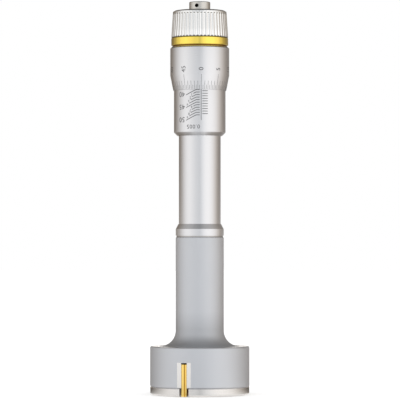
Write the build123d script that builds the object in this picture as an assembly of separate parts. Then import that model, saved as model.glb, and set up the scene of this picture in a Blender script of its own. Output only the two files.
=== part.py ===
from build123d import *
import os
from math import cos, pi, radians, sin, sqrt

# A three-contact inside micrometer, standing upright on the end cap of its measuring head.
# Millimetres. The origin is the centre of the end cap's flat underside and +Z runs up the instrument.
# Turned about the axis, an angle of 0 looks along -Y, where the index line is, and grows towards +X.
# Everything is drawn at the lowest reading: the thimble is up, the cone is up and the contacts are in.

# Measuring range and screw
smallest_bore = 40.0
measuring_span = 10.0
cone_slope = 0.5
contact_count = 3
first_contact_angle = -21.7

# End cap
cap_inset = 0.07
cap_thickness = 3.4
cap_foot_round = 0.8
cap_top_chamfer = 0.35
cap_floor = 0.7
cap_slot_width = 3.75
screw_circle_radius = 12.5
screw_radius = 1.0
screw_head_radius = 2.0
screw_head_height = 1.0
screw_recess = 0.2
screw_length = 6.4
screw_slot_width = 0.6
screw_slot_depth = 0.5

# Measuring head
drum_clearance = 0.33
head_height = 15.85
head_chamfer = 0.35
head_top_round = 0.7
flare_radius = 6.2
neck_wall = 1.2
neck_top_chamfer = 0.2
neck_length = 43.1
flat_width = 5.5
flat_margin = 0.05
web_thickness = 2.0
web_hole_radius = 4.0

# Jaws and contacts
jaw_width = 4.9
jaw_height = 13.0
ramp_below_tip = 2.3
stem_width = 2.16
stem_height = 9.1
stem_length = 7.0
stem_headroom = 0.6
contact_depth = 1.6
contact_nose = 0.5
contact_lift = 0.2
jaw_spring_radius = 0.9
jaw_spring_wire = 0.3
jaw_spring_turns = 6
jaw_spring_drop = 1.7
jaw_spring_wall = 1.2
jaw_spring_pocket_gap = 0.15

# Cone and push rod
cone_tip_radius = 3.0
cone_spare_length = 0.4
cone_land = 2.0
rod_radius = 2.5
rod_seat_depth = 8.0
ball_radius = 1.5
ball_seat_depth = 0.9
spring_collar_radius = 5.6
spring_collar_height = 2.0
spring_collar_lift = 25.0
return_spring_radius = 4.6
return_spring_wire = 0.9
return_spring_turns = 8
lower_bush_length = 5.4
upper_bush_length = 7.5
upper_bush_clearance = 1.0

# Barrel
barrel_radius = 8.3
barrel_wall = 1.8
barrel_socket_depth = 8.0
collar_groove_depth = 0.3
collar_groove_height = 0.7
collar_length = 2.55
collar_cone_length = 2.0
collar_lip = 0.15
barrel_shown_length = 34.9

# Graduated sleeve
sleeve_wall = 1.9
sleeve_foot_chamfer = 1.4
sleeve_scale_length = 18.06
sleeve_hidden_length = 3.8

# Spindle and its nut
spindle_radius = 3.25
spindle_flange_step = 1.75
spindle_flange_height = 1.5
spindle_stem_step = 0.75
spindle_tail_length = 12.95
nut_length = 14.0
nut_top_depth = 6.5
nut_neck_wall = 1.7
nut_neck_length = 5.0
adjusting_nut_inset = 0.22
adjusting_nut_height = 4.5
adjusting_slot_width = 1.6
adjusting_slot_depth = 1.2

# Thimble
thimble_edge_wall = 0.12
thimble_bevel_length = 6.0
thimble_bevel_rise = 1.2
thimble_web = 3.0
thimble_web_clearance = 0.5
thimble_top_chamfer = 0.6
spacer_inset = 0.5
spacer_thickness = 0.5
clamp_nut_wall = 1.97
clamp_nut_height = 3.0
clamp_nut_flat_depth = 0.8
colour_ring_step = 0.03
colour_ring_height = 3.15
colour_ring_round = 0.4

# Ratchet
knob_top_radius = 10.64
knob_taper = 0.64
knob_height = 10.66
knob_chamfer_height = 0.45
knob_chamfer_width = 0.75
knob_wall = 1.34
knob_ceiling_gap = 0.2
flute_count = 48
flute_radius = 0.62
flute_depth = 0.36
flute_land = 0.65
wheel_gap = 0.57
tooth_height = 0.7
tooth_count = 24
tooth_steep_share = 0.1
wheel_hub_radius = 4.6
wheel_hub_height = 1.0
wheel_thickness = 3.5
click_band_thickness = 0.3
click_band_height = 3.0
click_band_opening = 60.0
click_nose_gap = 0.22
click_nose_width = 1.7
click_tab_width = 1.4
click_tab_reach = 0.6
ratchet_screw_radius = 2.45
screw_shoulder_step = 0.55
ratchet_screw_depth = 7.0
button_radius = 4.18
button_height = 3.45
button_round = 0.3
spanner_hole_radius = 0.75
spanner_hole_depth = 2.5
spanner_hole_angle = -20.0
spanner_hole_share = 0.525

# Clearances
fit_gap = 0.03
running_gap = 0.05
free_gap = 0.3
end_gap = 0.1
thimble_gap = 0.15
jaw_floor_gap = 0.2
cut_margin = 1.0

# Heights up the axis, from the end cap to the button
travel = measuring_span / 2 / cone_slope
head_top = cap_thickness + head_height
neck_top = head_top + neck_length
cone_tip = cap_floor + free_gap + travel
cone_length = travel + cone_spare_length
cone_top = cone_tip + cone_length + cone_land
ramp_foot = cone_tip - ramp_below_tip
chamber_top = cone_top + jaw_floor_gap
web_top = chamber_top + web_thickness
lower_bush_top = web_top + lower_bush_length
spring_collar_foot = lower_bush_top + spring_collar_lift
collar_cone_foot = neck_top + collar_groove_height + collar_length
collar_top = collar_cone_foot + collar_cone_length
sleeve_foot = collar_top + barrel_shown_length
thimble_edge = sleeve_foot + sleeve_scale_length
sleeve_top = thimble_edge + sleeve_hidden_length
barrel_top = sleeve_top - nut_top_depth
nut_foot = barrel_top - nut_length
nut_neck_top = barrel_top + nut_neck_length
web_foot = sleeve_top + travel + thimble_web_clearance
thimble_top = web_foot + thimble_web
spacer_top = thimble_top + spacer_thickness
ring_top = spacer_top + colour_ring_height
spindle_flange_foot = web_foot - spindle_flange_height
spindle_foot = nut_foot - spindle_tail_length
ball_centre = spindle_foot - running_gap - ball_radius
rod_top = ball_centre - ball_radius + ball_seat_depth
upper_bush_top = spindle_foot - travel - upper_bush_clearance
knob_foot = ring_top + end_gap
knob_top = knob_foot + knob_height
wheel_foot = ring_top + wheel_hub_height
wheel_top = wheel_foot + wheel_thickness
knob_ceiling = wheel_top + knob_ceiling_gap
button_foot = knob_top + end_gap

# Radii that follow from the sizes above
contact_radius = smallest_bore / 2
strip_inner_radius = contact_radius - contact_depth
head_radius = contact_radius - drum_clearance
cap_radius = head_radius - cap_inset
cone_radius = cone_tip_radius + cone_length * cone_slope
chamber_radius = cone_radius + running_gap
ramp_foot_radius = cone_tip_radius + running_gap - ramp_below_tip * cone_slope
jaw_shoulder_radius = strip_inner_radius - stem_length
slot_end_radius = jaw_shoulder_radius + measuring_span / 2 + jaw_floor_gap
flat_distance = sqrt(head_radius**2 - (flat_width / 2) ** 2)
barrel_bore_radius = barrel_radius - barrel_wall
sleeve_bore_radius = barrel_radius + fit_gap
neck_radius = sleeve_bore_radius + neck_wall
sleeve_radius = sleeve_bore_radius + sleeve_wall
spindle_flange_radius = spindle_radius + spindle_flange_step
spindle_stem_radius = spindle_radius + spindle_stem_step
nut_neck_radius = spindle_radius + running_gap + nut_neck_wall
thimble_bore_radius = sleeve_radius + thimble_gap
thimble_edge_radius = thimble_bore_radius + thimble_edge_wall
thimble_radius = thimble_edge_radius + thimble_bevel_rise
clamp_nut_radius = spindle_stem_radius + fit_gap + clamp_nut_wall
knob_foot_radius = knob_top_radius + knob_taper
colour_ring_radius = knob_foot_radius + colour_ring_step
spacer_radius = colour_ring_radius - spacer_inset
knob_cavity_radius = knob_top_radius - knob_wall
click_band_radius = knob_cavity_radius - fit_gap
click_band_bore = click_band_radius - click_band_thickness
wheel_tip_radius = click_band_bore - wheel_gap
wheel_root_radius = wheel_tip_radius - tooth_height
screw_shoulder_radius = ratchet_screw_radius + screw_shoulder_step

# Heights and widths inside the head
jaw_foot = cap_thickness + jaw_floor_gap
jaw_top = jaw_foot + jaw_height
stem_top = jaw_foot + stem_height
slot_ceiling = jaw_top + end_gap
slot_width = jaw_width + 2 * running_gap
stem_slot_width = stem_width + 2 * running_gap
stem_slot_ceiling = stem_top + stem_headroom
flat_top = stem_slot_ceiling + flat_margin
jaw_spring_height = jaw_top - jaw_spring_drop
jaw_spring_pocket_radius = jaw_spring_radius + jaw_spring_pocket_gap
jaw_spring_inner_end = ramp_foot_radius + (jaw_spring_height - ramp_foot) * cone_slope + jaw_spring_wall
jaw_spring_pocket_depth = jaw_shoulder_radius - jaw_spring_inner_end


def turned(points):
    """Turns a closed half section, given as pairs of radius and height, about the axis."""
    section = make_face(Plane.XZ * Polyline(*points, close=True))
    return revolve(section, Axis.Z)


def tube(outer, inner, foot, top):
    """Turns a plain tube between two heights."""
    return turned([(inner, foot), (outer, foot), (outer, top), (inner, top)])


def rod(radius, foot, top):
    """Turns a plain round bar between two heights."""
    return Pos(0, 0, (foot + top) / 2) * Cylinder(radius, top - foot)


def block(inner, outer, width, foot, top):
    """Makes a bar that runs outwards along +X between two radii."""
    middle = Pos((inner + outer) / 2, 0, (foot + top) / 2)
    return middle * Box(outer - inner, width, top - foot)


def facing(angle):
    """Turns what was drawn along +X so that it faces out of the front at this angle."""
    return Rot(0, 0, angle - 90)


def contact_angle(number):
    """Gives the angle of a contact, counted from 0."""
    return first_contact_angle + number * 360 / contact_count


def screw_angle(number):
    """Gives the angle of an end cap screw, half way between two contacts."""
    return contact_angle(number) + 180 / contact_count


def at_contacts(shape):
    """Repeats a shape drawn along +X at every contact."""
    return [facing(contact_angle(n)) * shape for n in range(contact_count)]


def at_screws(shape):
    """Repeats a shape drawn along +X at every end cap screw."""
    return [facing(screw_angle(n)) * shape for n in range(contact_count)]


def coil(radius, wire, length, turns):
    """Winds a spring of round wire that stands on the origin, with its wire inside the length."""
    rise = length - wire
    path = Pos(0, 0, wire / 2) * Helix(pitch=rise / turns, height=rise, radius=radius)
    section = Plane(origin=path @ 0, z_dir=path % 0) * Circle(wire / 2)
    return sweep(section, path=path, is_frenet=True)


# Measuring head: drum, flare and neck in one piece
def measuring_head():
    drum_edge = head_radius - head_top_round
    flare_edge = neck_radius + flare_radius
    flare_top = head_top + flare_radius
    with BuildPart() as head:
        with BuildSketch(Plane.XZ):
            with BuildLine():
                Polyline(
                    (chamber_radius, chamber_top),
                    (chamber_radius, cap_thickness),
                    (head_radius - head_chamfer, cap_thickness),
                    (head_radius, cap_thickness + head_chamfer),
                    (head_radius, head_top - head_top_round),
                )
                RadiusArc((head_radius, head_top - head_top_round), (drum_edge, head_top), -head_top_round)
                Line((drum_edge, head_top), (flare_edge, head_top))
                RadiusArc((flare_edge, head_top), (neck_radius, flare_top), flare_radius)
                Polyline(
                    (neck_radius, flare_top),
                    (neck_radius, neck_top - neck_top_chamfer),
                    (neck_radius - neck_top_chamfer, neck_top),
                    (sleeve_bore_radius, neck_top),
                    (sleeve_bore_radius, neck_top - barrel_socket_depth),
                    (barrel_bore_radius, neck_top - barrel_socket_depth),
                    (barrel_bore_radius, web_top),
                    (web_hole_radius, web_top),
                    (web_hole_radius, chamber_top),
                    (chamber_radius, chamber_top),
                )
            make_face()
        revolve(axis=Axis.Z)
    past = head_radius + cut_margin
    jaw_slot = block(0, slot_end_radius, slot_width, cap_thickness, slot_ceiling)
    stem_slot = block(slot_end_radius, past, stem_slot_width, cap_thickness, stem_slot_ceiling)
    flat = block(flat_distance, past, past, cap_thickness, flat_top)
    screw_hole = rod(screw_radius, cap_thickness, cap_thickness + screw_length)
    cuts = at_contacts(jaw_slot) + at_contacts(stem_slot) + at_contacts(flat)
    return head.part - cuts - at_screws(Pos(screw_circle_radius, 0, 0) * screw_hole)


# End cap: closes the jaw slots and is what the instrument stands on
def end_cap():
    pocket_radius = cone_tip_radius + (cap_thickness - cap_floor) * cone_slope + free_gap
    disc = turned(
        [
            (0, 0),
            (cap_radius, 0),
            (cap_radius, cap_thickness - cap_top_chamfer),
            (cap_radius - cap_top_chamfer, cap_thickness),
            (pocket_radius, cap_thickness),
            (pocket_radius, cap_floor),
            (0, cap_floor),
        ]
    )
    foot_edge = disc.edges().filter_by(GeomType.CIRCLE).group_by(Axis.Z)[0]
    disc = fillet(foot_edge, cap_foot_round)
    past = cap_radius + cut_margin
    slot = block(jaw_shoulder_radius, past, cap_slot_width, 0, cap_thickness)
    flat = block(flat_distance, past, past, 0, cap_thickness)
    through = screw_radius + running_gap
    sink = screw_head_radius + running_gap
    seat = screw_recess + screw_head_height
    hole = turned(
        [
            (0, 0),
            (sink, 0),
            (sink, screw_recess),
            (through, seat),
            (through, cap_thickness),
            (0, cap_thickness),
        ]
    )
    cuts = at_contacts(slot) + at_contacts(flat)
    return disc - cuts - at_screws(Pos(screw_circle_radius, 0, 0) * hole)


def end_cap_screws():
    seat = screw_recess + screw_head_height
    screw = turned(
        [
            (0, screw_recess),
            (screw_head_radius, screw_recess),
            (screw_radius - fit_gap, seat),
            (screw_radius - fit_gap, cap_thickness + screw_length - free_gap),
            (0, cap_thickness + screw_length - free_gap),
        ]
    )
    slot = Pos(0, 0, screw_recess) * Box(3 * screw_head_radius, screw_slot_width, 2 * screw_slot_depth)
    return Compound(children=at_screws(Pos(screw_circle_radius, 0, 0) * (screw - slot)))


# Jaws: a wide body that rides on the cone, a narrow stem and a hard contact strip on its end
def jaw():
    ramp_head_radius = ramp_foot_radius + (jaw_top - ramp_foot) * cone_slope
    side = Polyline(
        (ramp_foot_radius, jaw_foot),
        (jaw_shoulder_radius, jaw_foot),
        (jaw_shoulder_radius, jaw_top),
        (ramp_head_radius, jaw_top),
        (ramp_foot_radius, ramp_foot),
        close=True,
    )
    body = extrude(make_face(Plane.XZ * side), amount=jaw_width / 2, both=True)
    stem = block(jaw_shoulder_radius, strip_inner_radius, stem_width, jaw_foot, stem_top)
    pocket_middle = Pos(jaw_shoulder_radius - jaw_spring_pocket_depth / 2, 0, jaw_spring_height)
    pocket = pocket_middle * Rot(0, 90, 0) * Cylinder(jaw_spring_pocket_radius, jaw_spring_pocket_depth)
    return body + stem - pocket


def contact_strip():
    half = stem_width / 2
    with BuildPart() as strip:
        with BuildSketch(Plane.XY.offset(contact_lift)):
            with BuildLine():
                Polyline(
                    (contact_radius - contact_nose, half),
                    (strip_inner_radius, half),
                    (strip_inner_radius, -half),
                    (contact_radius - contact_nose, -half),
                )
                ThreePointArc(
                    (contact_radius - contact_nose, -half),
                    (contact_radius, 0),
                    (contact_radius - contact_nose, half),
                )
            make_face()
        extrude(amount=stem_top - contact_lift)
    return strip.part


def jaw_return_spring():
    length = slot_end_radius - jaw_spring_inner_end
    mean_radius = jaw_spring_radius - jaw_spring_wire / 2
    spring = coil(mean_radius, jaw_spring_wire, length, jaw_spring_turns)
    return Pos(jaw_spring_inner_end, 0, jaw_spring_height) * Rot(0, 90, 0) * spring


# Cone and push rod: the part that the screw drives down
def measuring_cone():
    socket_radius = rod_radius + fit_gap
    return turned(
        [
            (0, cone_tip),
            (cone_tip_radius, cone_tip),
            (cone_radius, cone_tip + cone_length),
            (cone_radius, cone_top),
            (socket_radius, cone_top),
            (socket_radius, cone_top - rod_seat_depth),
            (0, cone_top - rod_seat_depth),
        ]
    )


def push_rod():
    bar = rod(rod_radius, cone_top - rod_seat_depth, rod_top)
    return bar - rod(ball_radius + fit_gap, rod_top - ball_seat_depth, rod_top)


def thrust_ball():
    return Pos(0, 0, ball_centre) * Sphere(ball_radius)


def spring_collar():
    top = spring_collar_foot + spring_collar_height
    return tube(spring_collar_radius, rod_radius + fit_gap, spring_collar_foot, top)


def return_spring():
    length = spring_collar_foot - lower_bush_top
    spring = coil(return_spring_radius, return_spring_wire, length, return_spring_turns)
    return Pos(0, 0, lower_bush_top) * spring


def lower_rod_bush():
    return tube(barrel_bore_radius - fit_gap, rod_radius + running_gap, web_top, lower_bush_top)


def upper_rod_bush():
    foot = upper_bush_top - upper_bush_length
    return tube(barrel_bore_radius - fit_gap, rod_radius + running_gap, foot, upper_bush_top)


# Barrel: the tube between head and scale, and the collar that clamps it in the neck
def barrel_tube():
    return tube(barrel_radius, barrel_bore_radius, neck_top - barrel_socket_depth, barrel_top)


def collar_nut():
    groove_radius = neck_radius - collar_groove_depth
    groove_top = neck_top + collar_groove_height
    return turned(
        [
            (sleeve_bore_radius, neck_top),
            (groove_radius, neck_top),
            (groove_radius, groove_top),
            (neck_radius, groove_top),
            (neck_radius, collar_cone_foot),
            (sleeve_bore_radius + collar_lip, collar_top),
            (sleeve_bore_radius, collar_top),
        ]
    )


def graduated_sleeve():
    return turned(
        [
            (sleeve_bore_radius, sleeve_foot),
            (sleeve_radius - sleeve_foot_chamfer, sleeve_foot),
            (sleeve_radius, sleeve_foot + sleeve_foot_chamfer),
            (sleeve_radius, sleeve_top),
            (sleeve_bore_radius, sleeve_top),
        ]
    )


def spindle_nut():
    bore = spindle_radius + running_gap
    outer = barrel_bore_radius - fit_gap
    return turned(
        [
            (bore, nut_foot),
            (outer, nut_foot),
            (outer, barrel_top),
            (nut_neck_radius, barrel_top),
            (nut_neck_radius, nut_neck_top),
            (bore, nut_neck_top),
        ]
    )


def adjusting_nut():
    top = barrel_top + adjusting_nut_height
    ring = tube(barrel_radius - adjusting_nut_inset, nut_neck_radius + fit_gap, barrel_top, top)
    slot = Pos(0, 0, top) * Box(2 * sleeve_radius, adjusting_slot_width, 2 * adjusting_slot_depth)
    return ring - slot


# Spindle: the screw, with the thimble and the ratchet on its upper end
def spindle():
    bore = ratchet_screw_radius + fit_gap
    return turned(
        [
            (0, spindle_foot),
            (spindle_radius, spindle_foot),
            (spindle_radius, spindle_flange_foot),
            (spindle_flange_radius, spindle_flange_foot),
            (spindle_flange_radius, web_foot),
            (spindle_stem_radius, web_foot),
            (spindle_stem_radius, ring_top),
            (bore, ring_top),
            (bore, ring_top - ratchet_screw_depth - free_gap),
            (0, ring_top - ratchet_screw_depth - free_gap),
        ]
    )


def thimble():
    bore = spindle_stem_radius + fit_gap
    return turned(
        [
            (thimble_bore_radius, thimble_edge),
            (thimble_edge_radius, thimble_edge),
            (thimble_radius, thimble_edge + thimble_bevel_length),
            (thimble_radius, thimble_top - thimble_top_chamfer),
            (thimble_radius - thimble_top_chamfer, thimble_top),
            (bore, thimble_top),
            (bore, web_foot),
            (thimble_bore_radius, web_foot),
        ]
    )


def spacer_washer():
    return tube(spacer_radius, spindle_stem_radius + fit_gap, thimble_top, spacer_top)


def thimble_clamp_nut():
    top = spacer_top + clamp_nut_height
    nut = tube(clamp_nut_radius, spindle_stem_radius + fit_gap, spacer_top, top)
    across_flats = 2 * (clamp_nut_radius - clamp_nut_flat_depth)
    flats = Box(across_flats, 2 * clamp_nut_radius, clamp_nut_height)
    return nut & Pos(0, 0, (spacer_top + top) / 2) * flats


def colour_ring():
    ring = tube(colour_ring_radius, clamp_nut_radius + fit_gap, spacer_top, ring_top)
    rims = ring.edges().filter_by(GeomType.CIRCLE).group_by(SortBy.RADIUS)[-1]
    return fillet(rims, colour_ring_round)


# Ratchet: the fluted knob slips round the toothed wheel when the contacts touch the bore
def ratchet_sleeve():
    straight_top = knob_top - knob_chamfer_height
    bearing_radius = screw_shoulder_radius + running_gap
    body = turned(
        [
            (knob_cavity_radius, knob_foot),
            (knob_foot_radius, knob_foot),
            (knob_top_radius, straight_top),
            (knob_top_radius - knob_chamfer_width, knob_top),
            (bearing_radius, knob_top),
            (bearing_radius, knob_ceiling),
            (knob_cavity_radius, knob_ceiling),
        ]
    )
    return body - flutes(straight_top) - click_tab_slot()


def flutes(straight_top):
    """Makes the round cutters of the flutes, which lean in with the taper and stop below a land."""
    slope = knob_taper / (straight_top - knob_foot)
    stand_off = flute_radius - flute_depth
    low = Vector(knob_foot_radius + stand_off + slope * cut_margin, 0, knob_foot - cut_margin)
    high = Vector(knob_top_radius + stand_off + slope * flute_land, 0, straight_top - flute_land)
    lean = Plane(origin=low, z_dir=high - low)
    cutter = extrude(lean * Circle(flute_radius), amount=(high - low).length)
    return [Rot(0, 0, n * 360 / flute_count) * cutter for n in range(flute_count)]


def click_tab_slot():
    width = click_tab_width + 2 * end_gap
    reach = click_band_radius + click_tab_reach + end_gap
    return Rot(0, 0, 90) * block(click_band_bore, reach, width, knob_foot, knob_ceiling)


def ratchet_wheel():
    bore = ratchet_screw_radius + fit_gap
    pitch = 2 * pi / tooth_count
    points = []
    for tooth in range(tooth_count):
        root = tooth * pitch
        crest = root + pitch * tooth_steep_share
        points.append((wheel_root_radius * cos(root), wheel_root_radius * sin(root)))
        points.append((wheel_tip_radius * cos(crest), wheel_tip_radius * sin(crest)))
    outline = make_face(Polyline(*points, close=True))
    disc = extrude(Pos(0, 0, wheel_foot) * outline, amount=wheel_thickness)
    return disc + rod(wheel_hub_radius, ring_top, wheel_foot) - rod(bore, ring_top, wheel_top)


def click_spring():
    foot = wheel_foot + (wheel_thickness - click_band_height) / 2
    top = foot + click_band_height
    band = tube(click_band_radius, click_band_bore, foot, top)
    half_opening = radians(click_band_opening / 2)
    far = 2 * click_band_radius
    opening = Polyline((0, 0), (far, -far * sin(half_opening)), (far, far * sin(half_opening)), close=True)
    band -= extrude(Pos(0, 0, foot) * make_face(opening), amount=click_band_height)
    seat = click_band_bore + click_band_thickness / 2
    tip = wheel_root_radius + click_nose_gap
    steep_side = end_gap
    nose = Polyline(
        (seat, -steep_side),
        (tip, -2 * steep_side),
        (seat, -steep_side - click_nose_width),
        close=True,
    )
    band += Rot(0, 0, 180) * extrude(Pos(0, 0, foot) * make_face(nose), amount=click_band_height)
    tab = block(seat, click_band_radius + click_tab_reach, click_tab_width, foot, top)
    return band + Rot(0, 0, 90) * tab


def ratchet_screw():
    button_top = button_foot + button_height
    body = turned(
        [
            (0, ring_top - ratchet_screw_depth),
            (ratchet_screw_radius, ring_top - ratchet_screw_depth),
            (ratchet_screw_radius, wheel_top),
            (screw_shoulder_radius, wheel_top),
            (screw_shoulder_radius, button_foot),
            (button_radius, button_foot),
            (button_radius, button_top),
            (0, button_top),
        ]
    )
    rim = body.edges().filter_by(GeomType.CIRCLE).group_by(Axis.Z)[-1]
    body = fillet(rim, button_round)
    height = button_foot + button_height * spanner_hole_share
    middle = Pos(button_radius - spanner_hole_depth / 2 + cut_margin / 2, 0, height)
    hole = middle * Rot(0, 90, 0) * Cylinder(spanner_hole_radius, spanner_hole_depth + cut_margin)
    return body - facing(spanner_hole_angle) * hole


pieces = {
    "measuring_head": measuring_head(),
    "end_cap": end_cap(),
    "end_cap_screws": end_cap_screws(),
    "measuring_cone": measuring_cone(),
    "push_rod": push_rod(),
    "thrust_ball": thrust_ball(),
    "spring_collar": spring_collar(),
    "return_spring": return_spring(),
    "lower_rod_bush": lower_rod_bush(),
    "upper_rod_bush": upper_rod_bush(),
    "barrel_tube": barrel_tube(),
    "collar_nut": collar_nut(),
    "graduated_sleeve": graduated_sleeve(),
    "spindle_nut": spindle_nut(),
    "adjusting_nut": adjusting_nut(),
    "spindle": spindle(),
    "thimble": thimble(),
    "spacer_washer": spacer_washer(),
    "thimble_clamp_nut": thimble_clamp_nut(),
    "colour_ring": colour_ring(),
    "ratchet_sleeve": ratchet_sleeve(),
    "ratchet_wheel": ratchet_wheel(),
    "click_spring": click_spring(),
    "ratchet_screw": ratchet_screw(),
}
for number in range(contact_count):
    turn = facing(contact_angle(number))
    pieces[f"jaw_{number + 1}"] = turn * jaw()
    pieces[f"contact_strip_{number + 1}"] = turn * contact_strip()
    pieces[f"jaw_return_spring_{number + 1}"] = turn * jaw_return_spring()

os.makedirs("parts", exist_ok=True)
for name, shape in pieces.items():
    export_step(shape, f"parts/{name}.step")
    print(name, round(shape.volume, 2))
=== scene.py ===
# %% [markdown]
# # Three-contact inside micrometer
# The imported CAD model is the fixed frame of this scene. Loading it gives the bodies that move and the nodes that
# can be dressed with a material. Everything below is in metres in the same space, so a mark or a turned skin goes
# where the CAD says and nothing is fitted by eye.

# %% Load the imported model
from math import cos, pi, radians, sin, sqrt

import bmesh
import bpy
from mathutils import Matrix, Vector


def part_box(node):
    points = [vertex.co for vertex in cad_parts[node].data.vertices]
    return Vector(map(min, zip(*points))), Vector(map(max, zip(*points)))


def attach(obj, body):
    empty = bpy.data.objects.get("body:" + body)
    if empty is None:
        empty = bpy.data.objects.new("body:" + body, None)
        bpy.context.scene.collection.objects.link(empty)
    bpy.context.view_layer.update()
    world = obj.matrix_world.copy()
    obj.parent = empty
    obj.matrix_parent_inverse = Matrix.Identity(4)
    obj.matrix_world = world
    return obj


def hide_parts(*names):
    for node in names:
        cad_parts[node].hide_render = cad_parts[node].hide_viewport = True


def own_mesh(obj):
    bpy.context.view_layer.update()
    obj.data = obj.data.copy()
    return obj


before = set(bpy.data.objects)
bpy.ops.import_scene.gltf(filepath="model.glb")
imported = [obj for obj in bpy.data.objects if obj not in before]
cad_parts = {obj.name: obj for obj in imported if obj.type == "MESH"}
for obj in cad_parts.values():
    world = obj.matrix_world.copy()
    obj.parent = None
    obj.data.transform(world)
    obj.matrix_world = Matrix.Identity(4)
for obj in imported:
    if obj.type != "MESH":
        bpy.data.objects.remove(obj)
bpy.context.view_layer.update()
mm = 0.001

# %% [markdown]
# ## Helpers for colours, objects and trees
# Blender's shaders take linear light, while colours are picked as sRGB hex values, so one function turns one into
# the other. Materials and Geometry Nodes are both trees of nodes. One function adds a node to either kind, sets
# its options, and fills each input with a plain value or with a link from another node. The short functions after
# it add what is needed often to the tree that is being built, which is always the one that is called tree.


# %% Turn hex colours to linear, start objects and add nodes
def linear(hex_colour):
    """Turns an sRGB hex colour into the linear colour that a shader takes."""
    shares = [int(hex_colour[i : i + 2], 16) / 255 for i in (0, 2, 4)]
    return [s / 12.92 if s <= 0.04045 else ((s + 0.055) / 1.055) ** 2.4 for s in shares] + [1.0]


def new_object(name, data):
    """Makes an object from its data and links it to the scene."""
    made = bpy.data.objects.new(name, data)
    bpy.context.scene.collection.objects.link(made)
    return made


def new_material(name):
    """Makes a material whose tree is still empty."""
    material = bpy.data.materials.new(name)
    material.use_nodes = True
    material.node_tree.nodes.clear()
    return material


def add(tree, kind, inputs=None, **options):
    """Adds a node. An input is given by name or number, as a value or as another node's output socket."""
    node = tree.nodes.new(kind)
    for option, value in options.items():
        setattr(node, option, value)
    for socket, source in (inputs or {}).items():
        if isinstance(source, bpy.types.NodeSocket):
            tree.links.new(source, node.inputs[socket])
        else:
            node.inputs[socket].default_value = source
    return node


def maths(operation, first, second=0.0, third=0.0):
    """Adds one sum and returns its result."""
    return add(tree, "ShaderNodeMath", {0: first, 1: second, 2: third}, operation=operation).outputs[0]


def object_xyz():
    """Adds the X, Y and Z of the point that is shaded, in the space of its own object."""
    place = add(tree, "ShaderNodeTexCoord").outputs["Object"]
    return add(tree, "ShaderNodeSeparateXYZ", {0: place}).outputs


def from_axis(xyz):
    """Adds how far a point is from the upright axis."""
    return maths("SQRT", maths("ADD", maths("POWER", xyz["X"], 2.0), maths("POWER", xyz["Y"], 2.0)))


def ramp(share, stops):
    """Adds a ramp with eased stops, each a position and a linear colour, and returns its colour."""
    node = add(tree, "ShaderNodeValToRGB", {0: share})
    node.color_ramp.interpolation = "EASE"
    for number, (position, colour) in enumerate(stops):
        if number < 2:
            stop = node.color_ramp.elements[number]
            stop.position = position
        else:
            stop = node.color_ramp.elements.new(position)
        stop.color = [*colour, 1.0]
    return node.outputs[0]


def grey_ramp(share, start, span, levels):
    """Adds a ramp of greys. A level's place is given in degrees or millimetres, over the span after the start."""
    return ramp(share, [((place - start) / span, [level] * 3) for place, level in levels])


print("mid grey 808080 is", round(linear("808080")[0], 3), "in linear light")

# %% [markdown]
# ## Camera
# The photograph is taken from about a metre away, a little left of the index line and below the middle of the
# instrument, with a long lens. The distance and the height were worked out from how the front edges of the
# cylinders bend; the lens then follows from the instrument's height in the picture.

# %% Place the camera
eye_distance = 1.030
eye_height = 0.0575
eye_angle = radians(-3.2)
aim_side = 0.0001
aim_height = 0.07716

camera_data = bpy.data.cameras.new("photo_camera")
camera_data.lens = 233.6
camera_data.sensor_width = 36.0
camera = new_object("photo_camera", camera_data)
camera.location = (eye_distance * sin(eye_angle), -eye_distance * cos(eye_angle), eye_height)
line_of_sight = Vector((aim_side, 0, aim_height)) - camera.location
camera.rotation_euler = line_of_sight.to_track_quat("-Z", "Y").to_euler()
bpy.context.scene.camera = camera
print("camera looks", round(line_of_sight.length, 3), "m at the instrument")

# %% [markdown]
# ## What the metal sees
# Satin metal has no look of its own: it shows a blurred picture of the room. The photograph's bright bands, grey
# middle and dark flanks are two large soft boxes, the room behind the camera and dark boards that stand beside and
# behind the object. One round tent stands for all of them. A vertical cylinder shows at the angle a what stands at
# 2a, and a chamfer shows what is above or below, so the stops were worked out from the photograph's bands. A warm
# stop is redder and less blue. Low behind the object the room's pale wall shows between the boards, and lights the
# drum's flat top. Close to the foot the tent is darker at the sides and behind, where the object shades it.

# %% Set how bright the tent is all round, and from the table up to the top
tent_sides = [
    # direction in degrees from the index line towards +X, how bright the tent is there, and how warm
    (-180, 0.22, 0.15),
    (-160, 0.18, 0.20),
    (-140, 0.22, 0.18),
    (-120, 0.42, 0.09),
    (-100, 0.80, 0.03),
    (-80, 1.11, 0.01),
    (-60, 1.20, 0.01),
    (-40, 1.07, 0.00),
    (-22, 0.93, -0.01),
    (-11, 0.93, -0.02),
    (-3, 0.74, -0.02),
    (5, 0.98, -0.02),
    (14, 1.15, -0.01),
    (28, 1.29, 0.01),
    (50, 1.30, 0.01),
    (70, 1.11, 0.03),
    (90, 0.76, 0.08),
    (110, 0.40, 0.13),
    (130, 0.26, 0.12),
    (150, 0.30, 0.08),
    (165, 0.28, 0.10),
    (180, 0.22, 0.15),
]
tent_rise = [
    # angle in degrees above the horizon, seen from the middle of the barrel, and how bright the tent is there
    (-90, 0.86),
    (-60, 0.84),
    (-35, 0.90),
    (-15, 1.00),
    (5, 1.00),
    (16, 1.04),
    (30, 0.66),
    (42, 0.48),
    (52, 0.36),
    (64, 0.20),
    (74, 0.17),
    (90, 0.36),
]
tent_middle = 0.09
wall_level = 1.1
wall_side = [(110, 0.0), (130, 0.16), (164, 0.16), (176, 1.0)]  # degrees away from the index line, share of light
wall_rise = [(-19, 0.0), (-13, 1.0), (-7, 1.0), (4, 0.0)]  # degrees above the horizon, share of light
shade_side = [(35, 1.0), (125, 0.4)]  # degrees away from the index line, light that is left
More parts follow.
